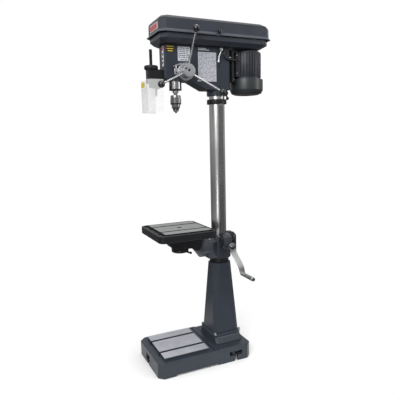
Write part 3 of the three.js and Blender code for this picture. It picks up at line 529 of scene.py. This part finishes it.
def crank(m):
    away = Vector(CRANK_WAY)
    (hub_y, hub_z), reach = CRANK_HUB, CRANK_REACH

    def place(x, d, s):
        return Vector((x, hub_y + d * away.x - s * away.y, hub_z + d * away.y + s * away.x)) * MM
    bm = bmesh.new()
    path = []
    for i in range(33):
        t = i / 32
        d = -4 + 154 * t
        lean = min(1, max(0, (d - 20) / 92))
        x = 114 + 47 * (lean * lean * (3 - 2 * lean))
        width = 15.0 - 2.0 * min(1, max(0, (d - 112) / 33))
        if d > reach:
            width *= math.sqrt(max(0.05, 1 - ((d - reach) / 10.5) ** 2))
        path.append((x, d, width))
    rows = []
    for x, d, w in path:
        rows.append([bm.verts.new(place(x + a, d, s)) for a, s in
                     ((0, -w), (0, -w * 0.5), (0, w * 0.5), (0, w), (8, w), (8, w * 0.5), (8, -w * 0.5),
                      (8, -w))])
    bridge(bm, rows)
    arm = finish_mesh("crank_bar", bm, m["arm"], 40, 1.6, 3)
    put(arm, "crank", "chrome", "crank_arm")
    hub = lathe("crank_hub", fillet([(7.1, 97.5), (17, 97.5), (17, 122), (7.1, 122)], 1.5), m["chrome"],
                (hub_y, hub_z), "x", 48)
    put(hub, "crank", "chrome")
    nut = lathe("crank_nut", fillet([(0, 112), (6.9, 112), (6.9, 122), (9, 122), (9, 126), (0, 126)], 0.8),
                m["chrome"], (hub_y, hub_z), "x", 6)
    put(nut, "crank", "chrome")
    # Black disc on the nut's end: painted shade standing in for its hole.
    dot = lathe("crank_nut_hole_painted_shade", [(0, 125.2), (3.6, 125.2), (3.6, 126.2), (0, 126.2)], m["black"],
                (hub_y, hub_z), "x", 24)
    put(dot, "crank", "black_steel")
    at = (hub_y + reach * CRANK_WAY[0], hub_z + reach * CRANK_WAY[1])
    pin = lathe("crank_pin", fillet([(0, 168), (5.5, 168), (5.5, 266), (9, 266), (9, 269), (0, 269)], 0.6),
                m["steel"], at, "x", 40)
    put(pin, "crank", "chrome")
    grip = lathe("crank_handle",
                 fillet([(5.9, 169.5), (9, 169.5), (11, 173), (11, 182), (10.6, 184), (10.6, 250),
                         (11, 252), (11, 261), (9, 265.6), (5.9, 265.6)], 0.8), m["arm"], at, "x", 56)
    put(grip, "grip", "bright_steel", "crank_grip")


# ---- head, pan and cover -------------------------------------------------------------
def head(m):
    keep("head_casting", m["slate"], 1.6, 3)
    keep("pulley_pan", m["sheet"], 2.0, 3)
    cover = keep("belt_cover", m["sheet"], 2.2, 4, limit=20)
    cover.data.materials.append(m["lip"])
    cover.data.materials.append(m["roof"])
    # Flare faces just above the flange get the lighter copy, a painted highlight; faces above the roof line
    # get the darker copy, painted shade.
    for poly in cover.data.polygons:
        z = poly.center.z
        if LIP_HIGHLIGHT_Z[0] < z < LIP_HIGHLIGHT_Z[1] and abs(poly.normal.z) < 0.6:
            poly.material_index = 1
        elif z > ROOF_SHADE_Z:
            poly.material_index = 2
    keep("guard_bracket", m["plastic"], 1.6, 3)
    keep("switch_box", m["plastic"], 1.2, 2)
    keep("stop_button", m["red"], 0.6, 2)
    keep("start_button", m["green"], 0.6, 2)
    keep("idler_post", m["steel"], 0.4, 1)
    keep("pinion_shaft", m["steel"], 0.2, 1)
    keep("return_spring", m["steel"], 0, 1)
    keep("head_lock_lever", m["black"], 0.6, 2)
    knob = lathe("cover_handle",
                 fillet([(0, 101.9), (5, 101.9), (5, 106), (9, 109), (11, 114), (9, 121), (0, 123)], 1.2),
                 m["knob"], (-35, 1658), "x", 40)
    put(knob, "cover", "knob_plastic", "cover_knob")
    cup = lathe("spring_cup",
                fillet([(8.6, -58), (34, -58), (37, -55), (37, -44.4), (33.5, -44.4), (33.5, -54.5),
                        (8.6, -54.5)], 0.8), m["sheet"], FEED, "x", 64)
    put(cup, "stand", "sheet_paint", "spring_cover")


def side_x(y):
    """Where the head's right side stands at a given depth."""
    return SIDE_START[0] + SIDE_RISE * (y - SIDE_START[1]) / SIDE_RUN


def side_normal():
    return Vector((1, -SIDE_RISE / SIDE_RUN, 0)).normalized()


def side_plate(name, y0, y1, z0, z1, mat, thickness=0.7, lift=0.25):
    normal = side_normal()
    corners = [Vector((side_x(y), y, z)) + normal * lift
               for y, z in ((y0, z0), (y1, z0), (y1, z1), (y0, z1))]
    return slab(name, corners, normal, thickness, mat, 0.25)


def print_rows(name, y0, y1, z0, z1, rows, tall, mat):
    """Rows of plain dashes of uneven length, standing a hair proud of a side plate."""
    normal = side_normal()
    bm = bmesh.new()
    for k in range(rows):
        z = z1 - (z1 - z0) * (k + 0.5) / rows
        y = y0 + random.uniform(0, 3)
        while y < y1 - 3:
            end = min(y1, y + random.choice((3, 5, 8, 12)))
            corners = [Vector((side_x(v), v, h)) + normal * lift for lift in (1.0, 1.12)
                       for v, h in ((y, z - tall), (end, z - tall), (end, z + tall), (y, z + tall))]
            verts = [bm.verts.new(c * MM) for c in corners]
            for loop in ((3, 2, 1, 0), (4, 5, 6, 7), (0, 1, 5, 4), (1, 2, 6, 5), (2, 3, 7, 6),
                         (3, 0, 4, 7)):
                bm.faces.new([verts[i] for i in loop])
            y = end + random.choice((1.6, 2.4, 5))
    put(finish_mesh(name, bm, mat), "stand", "sheet_paint")


def labels(m):
    put(side_plate("speed_plate", -225, -163, 1525, 1592, m["plate"]), "stand", "sheet_paint")
    put(side_plate("chart_plate", -121, -25, 1434, 1572, m["plate"]), "stand", "sheet_paint")
    print_rows("speed_print", -222, -187, 1538, 1589, 6, 2.1, m["ink"])
    print_rows("speed_print_2", -183, -166, 1538, 1589, 5, 2.4, m["ink"])
    print_rows("speed_footer", -214, -172, 1527, 1535, 1, 2.2, m["ink"])
    print_rows("chart_print", -118, -28, 1437, 1569, 22, 1.3, m["ink"])
    put(side_plate("chart_heading", -120, -62, 1581, 1584, m["white"]), "stand", "sheet_paint")
    put(side_plate("chart_heading_2", -120, -78, 1588, 1590.5, m["white"]), "stand", "sheet_paint")
    put(side_plate("badge_ground", -283, -243, 1564, 1596, m["black"]), "stand", "sheet_paint")
    for i, (y0, y1, z0, z1) in enumerate(((-281, -245, 1588, 1592), (-279, -247, 1577, 1581),
                                          (-276, -250, 1567, 1571))):
        put(side_plate("badge_bar_%d" % i, y0, y1, z0, z1, m["yellow"], 0.5, 1.0), "stand", "sheet_paint")
    put(side_plate("hub_tag", -128, -112, 1432, 1438, m["chrome"], 0.8), "stand", "chrome")

    def front(name, x0, x1, z0, z1, mat, lift=0.2):
        return slab(name, [(x0, -292 - lift, z0), (x1, -292 - lift, z0), (x1, -292 - lift, z1),
                           (x0, -292 - lift, z1)],
                    (0, -1, 0), 0.6, mat, 0.2)
    put(front("strip_ground", 6, 28, 1500, 1592, m["white"]), "stand", "sheet_paint")
    put(front("strip_head", 8, 26, 1572, 1589, m["red"], 0.9), "stand", "sheet_paint")
    for i in range(3):
        z = 1556 - 20 * i
        put(front("strip_mark_%d" % i, 11, 23, z - 6, z + 5, m["black"], 0.9), "stand", "sheet_paint")
    for name, x0, x1, z0, z1, y, mat in (("cover_label", -52, 58, 1662, 1692, -328.2, "white"),
                                         ("cover_label_field", -49, 50, 1665, 1689, -328.8, "pink")):
        corners = [(x0, y, z0), (x1, y, z0), (x1, y, z1), (x0, y, z1)]
        put(slab(name, corners, (0, -1, 0), 0.5, m[mat], 0.2), "cover", "sheet_paint")
    put(slab("guard_sticker",
             [(-44, -385.1, 1402), (6, -385.1, 1402), (6, -385.1, 1425), (-44, -385.1, 1425)],
             (0, -1, 0), 0.3, m["yellow"], 0.1), "shield", "guard_clear")


# ---- quill, chuck and feed -----------------------------------------------------------
def spindle_group(m):
    keep("quill", m["steel"], 0.3, 1)
    rim = lathe("quill_rim", fillet([(24, 1391.2), (30.9, 1391.2), (30.9, 1396), (30.55, 1396),
                                     (24, 1391.9)], 0.3),
                m["black"], SPINDLE, "z", 64)
    put(rim, "quill_body", "bright_steel")
    keep("spindle", m["steel"], 0.3, 1)
    cone = [(26.6, 1329.3), (26.6, 1324.5), (21.4, 1323.6), (21, 1311), (18, 1306), (14, 1297), (13, 1290),
            (9.5, 1290), (9.5, 1337), (10.4, 1343), (10.4, 1367), (15, 1367), (15, 1329.3)]
    body = lathe("chuck_core", fillet(cone, 0.6), m["chuck"], SPINDLE, "z", 72)
    put(body, "spindle_body", "bright_steel", "chuck_body")

    def teeth(r, h, i):
        return r - 3.0 if r > 26.5 and h > 1333 and i % 8 < 3 else r
    sleeve = lathe("chuck_collar",
                   [(15.4, 1329.7), (26.2, 1329.7), (26.2, 1333), (27, 1334), (27, 1352), (25.2, 1353),
                    (25.2, 1364), (24, 1367), (15.4, 1367)], m["chuck"], SPINDLE, "z", 120, 30, teeth)
    put(sleeve, "sleeve", "bright_steel", "chuck_sleeve")
    band = lathe("chuck_band",
                 fillet([(26.3, 1324.3), (26.9, 1324.3), (26.9, 1328.9), (26.3, 1328.9)], 0.2), m["black"],
                 SPINDLE, "z", 72)
    put(band, "spindle_body", "bright_steel")
    for i in range(3):
        keep("chuck_jaw_%d" % (i + 1), m["steel"], 0.2, 1)


def spoke_point(a, x, r):
    """Point at radius r and angle a around the feed axis."""
    return Vector((x, FEED[0] - r * math.cos(a), FEED[1] + r * math.sin(a)))


def feed_group(m):
    face = [(0, 58.3), (29, 58.3), (31.5, 60), (31.5, 93), (30, 96), (7.5, 96), (6, 95), (6, 72.5),
            (0, 72.5)]
    hub = lathe("hub_barrel", fillet(face, 0.9), m["hub"], FEED, "x", 72)
    put(hub, "feed", "hub_alloy", "feed_hub")
    # Black disc proud of the hub face: painted shade standing in for a recess.
    hole = lathe("hub_recess_painted_shade", [(0, 95.2), (4.6, 95.2), (4.6, 96.25), (3.6, 96.4), (0, 96.4)], m["black"],
                 (FEED[0] - 17, FEED[1] + 8), "x", 32)
    put(hole, "feed", "hub_alloy")
    plug = lathe("hub_centre", [(0, 88), (6, 88), (6, 95.6), (0, 95.6)], m["black"], FEED, "x", 32)
    put(plug, "feed", "hub_alloy")
    for i, deg in enumerate((95, -25, -145)):
        a = math.radians(deg)
        ends = [spoke_point(a, x, r) for x, r in ((77.6, 18), (92, 50), (117.5, 106.4), (143, 163.5))]
        bar = tube("spoke_bar_%d" % (i + 1), ends, 5, m["chrome"], 24, taper=[6.4, 6.2, 5.4, 4.9])
        put(bar, "feed", "chrome", "spoke_%d" % (i + 1))
        centre = spoke_point(a, 150, 179)
        bm = bmesh.new()
        bmesh.ops.create_uvsphere(bm, u_segments=40, v_segments=24, radius=16.4 * MM)
        inward = (spoke_point(a, 117.5, 106.4) - centre).normalized()
        for v in bm.verts:
            d = v.co.dot(inward)
            if d > 14.2 * MM:
                v.co -= inward * (d - 14.2 * MM)
            v.co += centre * MM
        ball = finish_mesh("ball_%d" % (i + 1), bm, m["knob"], 60)
        put(ball, "feed", "knob_plastic", "knob_%d" % (i + 1))
        near = centre + inward * 14
        ferrule = tube("ferrule_%d" % (i + 1), [near, near + inward * 3.2], 6.5, m["knob"], 24,
                       taper=[7.2, 6.2])
        put(ferrule, "feed", "knob_plastic")
    collar = lathe("depth_ring",
                   fillet([(16.1, 44.6), (42, 44.6), (42, 55), (40, 57.9), (16.1, 57.9)], 0.8), m["hub"],
                   FEED, "x", 96)
    put(collar, "collar", "hub_alloy", "depth_collar")
    for i in range(36):
        a = 2 * math.pi * i / 36
        tall = 5 if i % 3 == 0 else 3
        p = Vector((0, FEED[0] + 42.05 * math.cos(a), FEED[1] + 42.05 * math.sin(a)))
        t = Vector((0, -math.sin(a), math.cos(a))) * 0.35
        mark = slab("depth_mark_%02d" % i,
                    [p - t + Vector((54.6 - tall, 0, 0)), p + t + Vector((54.6 - tall, 0, 0)),
                     p + t + Vector((54.6, 0, 0)), p - t + Vector((54.6, 0, 0))],
                    (0, math.cos(a), math.sin(a)), 0.12, m["black"], 0)
        put(mark, "collar", "hub_alloy")
    block = [(45.4, -250, 1459), (55, -250, 1459), (55, -229, 1459), (45.4, -229, 1459)]
    put(slab("depth_block", block, (0, 0, 1), 29, m["hub"], 1.6), "collar", "hub_alloy")
    post = smooth_path([(50.5, -239, 1484), (50.5, -238, 1496), (50.5, -237, 1502)], 3)
    put(tube("depth_post", post, 3.6, m["steel"], 20), "collar", "hub_alloy")
    bar = [(50.5, -252, 1496), (50.5, -244, 1499.4), (50.5, -220, 1509.6), (50.5, -212, 1513)]
    put(tube("depth_bar", bar, 3.4, m["chrome"], 20, taper=[4.0, 3.4, 3.4, 4.0]), "collar", "hub_alloy")
    screw = hex_bolt("depth_screw", (55.2, -240, 1470), (1, 0, 0), m["black"], 7, 2.4)
    put(screw, "collar", "black_steel")


# ---- guard ---------------------------------------------------------------------------
def guard_group(m):
    def knurl(r, h, i):
        return r - 0.8 if r > 32 and i % 4 < 2 else r
    ring = lathe("guard_knob", [(7.9, 1484.3), (30, 1484.3), (33, 1487), (33, 1499), (30, 1502),
                                (16, 1502), (14, 1501), (7.9, 1501)], m["plastic"], (0, GUARD_Y), "z", 96,
                 40, knurl)
    put(ring, "stand", "black_plastic", "guard_ring")
    thread = [(7.5 if k % 2 else 6.9, 1540 + 1.1 * k) for k in range(32)]
    post = [(0, 1407), (6.6, 1407), (7.5, 1408)] + thread + [(6.6, 1577), (0, 1577)]
    rod = lathe("guard_post", post, m["black"], (0, GUARD_Y), "z", 40)
    put(rod, "guard", "black_steel", "guard_rod")
    screw = lathe("guard_screw",
                  fillet([(0, -44), (4.5, -44), (5.5, -41), (5.5, -36), (3, -34), (3, -31), (0, -31)], 0.8),
                  m["knob"], (GUARD_Y, 1493), "x", 28)
    put(screw, "stand", "black_plastic")
    keep("guard_arm", m["black"], 0.8, 2)
    keep("guard_shield", m["clear"], 0.6, 2)


# ---- motor ---------------------------------------------------------------------------
def motor_group(m):
    fins = 32
    bm = bmesh.new()
    outline = []
    for i in range(fins):
        mid = 2 * math.pi * i / fins
        for d, r in ((-0.082, 70), (-0.056, 75.9), (0.0, 76.15), (0.034, 75.9), (0.06, 70)):
            outline.append((r * math.cos(mid + d), r * math.sin(mid + d)))
    rows = []
    for z, k in ((1461, 0.975), (1464, 1), (1584, 1), (1588, 0.975)):
        rows.append([bm.verts.new(Vector((x * k, MOTOR_Y + y * k, z)) * MM) for x, y in outline])
    bridge(bm, rows)
    body = finish_mesh("motor_fins", bm, m["motor"], 40)
    put(body, "carriage", "motor_paint", "motor_body")
    cap = fillet([(9, 1596), (44, 1596), (64, 1594.5), (73, 1590), (74, 1584), (9, 1584)], 2.5, 4)
    put(lathe("motor_top", cap, m["motor"], (0, MOTOR_Y), "z", 72), "carriage", "motor_paint")
    foot = fillet([(0, 1454.3), (72.5, 1454.3), (74, 1456), (74, 1463), (0, 1463)], 1)
    put(lathe("motor_foot", foot, m["motor"], (0, MOTOR_Y), "z", 72), "carriage", "motor_paint")
    block = [(-40, 100.8, 1462), (40, 100.8, 1462), (40, 138, 1462), (-40, 138, 1462)]
    put(slab("motor_saddle", block, (0, 0, 1), 124, m["motor"], 2.5), "carriage", "motor_paint")
    block = [(-88, 156, 1500), (-62, 156, 1500), (-62, 201, 1500), (-88, 201, 1500)]
    put(slab("terminal_box", block, (0, 0, 1), 60, m["motor"], 3.0), "carriage", "motor_paint")
    cowl = fillet([(30, 1378), (62, 1378), (78, 1384), (86.5, 1400), (86.5, 1454), (68, 1454), (68, 1449.6),
                   (83.5, 1449.6), (83.5, 1402), (76, 1387), (61, 1381), (30, 1381)], 1.8, 3)
    put(lathe("motor_cowl", cowl, m["cowl"], (0, MOTOR_Y), "z", 96), "carriage", "cowl_paint", "fan_cowl")
    for r in (20, 38, 47, 56):
        ring = fillet([(r - 1.5, 1378.1), (r + 1.5, 1378.1), (r + 1.5, 1380.6), (r - 1.5, 1380.6)], 0.5)
        put(lathe("cowl_ring_%d" % r, ring, m["cowl"], (0, MOTOR_Y), "z", 64), "carriage", "cowl_paint")
    for i in range(4):
        a = math.pi * (i / 2 + 0.25)
        ends = [(r * math.cos(a), MOTOR_Y + r * math.sin(a), 1380.2) for r in (18.5, 31)]
        put(tube("cowl_rib_%d" % i, ends, 1.6, m["cowl"], 10), "carriage", "cowl_paint")
    keep("motor_plate", m["cast_black"], 1.4, 2)
    for s, name in ((-1, "slide_bar_left"), (1, "slide_bar_right")):
        bar = lathe(name + "_round",
                    fillet([(0, -62), (10, -62), (10, 64), (7, 64), (7, 75), (0, 75)], 0.8), m["steel"],
                    (36 * s, 1555), "y", 48)
        put(bar, "carriage", "bright_steel", name)
    for i, (x, z) in enumerate(((40, 1583), (40, 1447), (-40, 1583), (-40, 1447))):
        bolt = hex_bolt("plate_bolt_%d" % i, (x, 76, z), (0, 1, 0), m["steel"], 12, 6, False)
        put(bolt, "carriage", "bright_steel")
    for i, z in enumerate((1568, 1480)):
        for j, s in enumerate((1, -1)):
            bolt = hex_bolt("foot_bolt_%d_%d" % (i, j), (45.2 * s, 95, z), (s, 0, 0), m["steel"], 8, 4,
                            False)
            put(bolt, "carriage", "bright_steel")
    path = smooth_path([(55, 0, 1588), (58, -4, 1574), (56.5, -11, 1556), (58, -15, 1538), (58, -17, 1526)],
                       8)
    n = len(path)
    lever = tube("tension_bar", path, 3.6, m["chrome"], 20,
                 taper=[3.2 + 2.6 * (i / (n - 1)) ** 2 for i in range(n)])
    put(lever, "tension", "chrome", "tension_lever")
    boss = lathe("tension_boss", fillet([(0, 45), (5, 45), (5, 53), (9, 53), (9, 61), (0, 61)], 1),
                 m["chrome"], (0, 1588), "x", 40)
    put(boss, "tension", "chrome")
    points = [(53.1, 34, 1589), (59, 33, 1589), (64, 20, 1583), (65, 11, 1568), (64, 18, 1552),
              (62, 38, 1543), (60, 66, 1541), (57.5, 84, 1543), (52, 94, 1545), (45.7, 95, 1545)]
    cable = tube("motor_lead", smooth_path(points, 8), 4.5, m["cable"], 16)
    put(cable, "stand", "cable_rubber", "motor_cable")
    for name, at, way, body in (("lead_gland", (52.7, 33.8, 1589), (1, 0, 0), "stand"),
                                ("lead_entry", (45.2, 95, 1545), (1, 0, 0), "carriage")):
        put(hex_bolt(name, at, way, m["plastic"], 12, 5, False), body, "black_plastic")


# ---- pulleys and belts ---------------------------------------------------------------
def drive_group(m):
    low, step = PULLEY_LOW, PULLEY_STEP
    jobs = (("spindle_pulley", "spindle_drive", (83, 68, 53, 38), SPINDLE[1], 9.4,
             [(9.4, 1603), (20, 1603), (20, low)]),
            ("idler_pulley", "idler", (38, 53, 68, 83), IDLER_Y, 8.4, [(8.4, low)]),
            ("motor_pulley", "rotor", (73, 58, 43, 28), MOTOR_Y, 0, [(0, 1562), (8.6, 1562), (8.6, low)]))
    for node, body, radii, y, hub, boss in jobs:
        points = list(boss)
        for k, r in enumerate(radii):
            z = low + step * k
            points += [(r, z), (r, z + 3), (r - 8.6, z + 8.4), (r - 8.6, z + 9.6), (r, z + 15),
                       (r, z + step)]
        points.append((hub, low + step * len(radii)))
        wheel = lathe(node + "_turned", fillet(points, 0.6, 2), m["pulley"], (0, y), "z", 72)
        put(wheel, body, "pulley_alloy", node)
    for node in ("front_belt", "rear_belt"):
        keep(node, m["rubber"], 0.4, 2, 40)


# ---- small hardware ------------------------------------------------------------------
def hardware(m):
    for i, (x, y) in enumerate(((-76, -71), (76, -71), (76, 73), (-76, 73))):
        put(hex_bolt("flange_screw_%d" % i, (x, y, 131.1), (0, 0, 1), m["steel"], 13, 3.4), "stand",
            "bright_steel")
    for name, z in (("lower", 512), ("upper", 1339)):
        a = math.radians(-35)
        c = Vector((50.3 * math.cos(a), 50.3 * math.sin(a), z))
        put(hex_bolt(name + "_set_screw", c, (math.cos(a), math.sin(a), 0), m["black"], 8, 1.2), "stand",
            "black_steel")
    for i, (y, z) in enumerate(((-9, 1508), (-10, 1410))):
        x = side_x(y) - 3
        plug = lathe("head_plug_%d" % i, fillet([(0, x), (4.7, x), (4.7, x + 2.2), (0, x + 2.2)], 0.4),
                     m["black"], (y, z), "x", 28)
        put(plug, "stand", "black_steel")
    for i, (y, z) in enumerate(((78, 572), (78, 632))):
        put(hex_bolt("clamp_bolt_%d" % i, (24.2, y, z), (1, 0, 0), m["steel"], 15, 7, False), "bracket",
            "bright_steel")
    for i, (x, z) in enumerate(((78, 640), (52, 640), (86, 596))):
        put(hex_bolt("housing_screw_%d" % i, (x, -19.1, z), (0, -1, 0), m["steel"], 8, 4), "bracket",
            "bright_steel")
    cap = lathe("pinion_cap", fillet([(0, -23), (12, -23), (14, -21), (14, -19.1), (0, -19.1)], 0.6),
                m["bracket"], (63.4, 630), "y", 48)
    put(cap, "bracket", "black_paint")


camera()
studio()
M = make_materials()
stand(M)
table_group(M)
crank(M)
head(M)
labels(M)
spindle_group(M)
feed_group(M)
guard_group(M)
motor_group(M)
drive_group(M)
hardware(M)
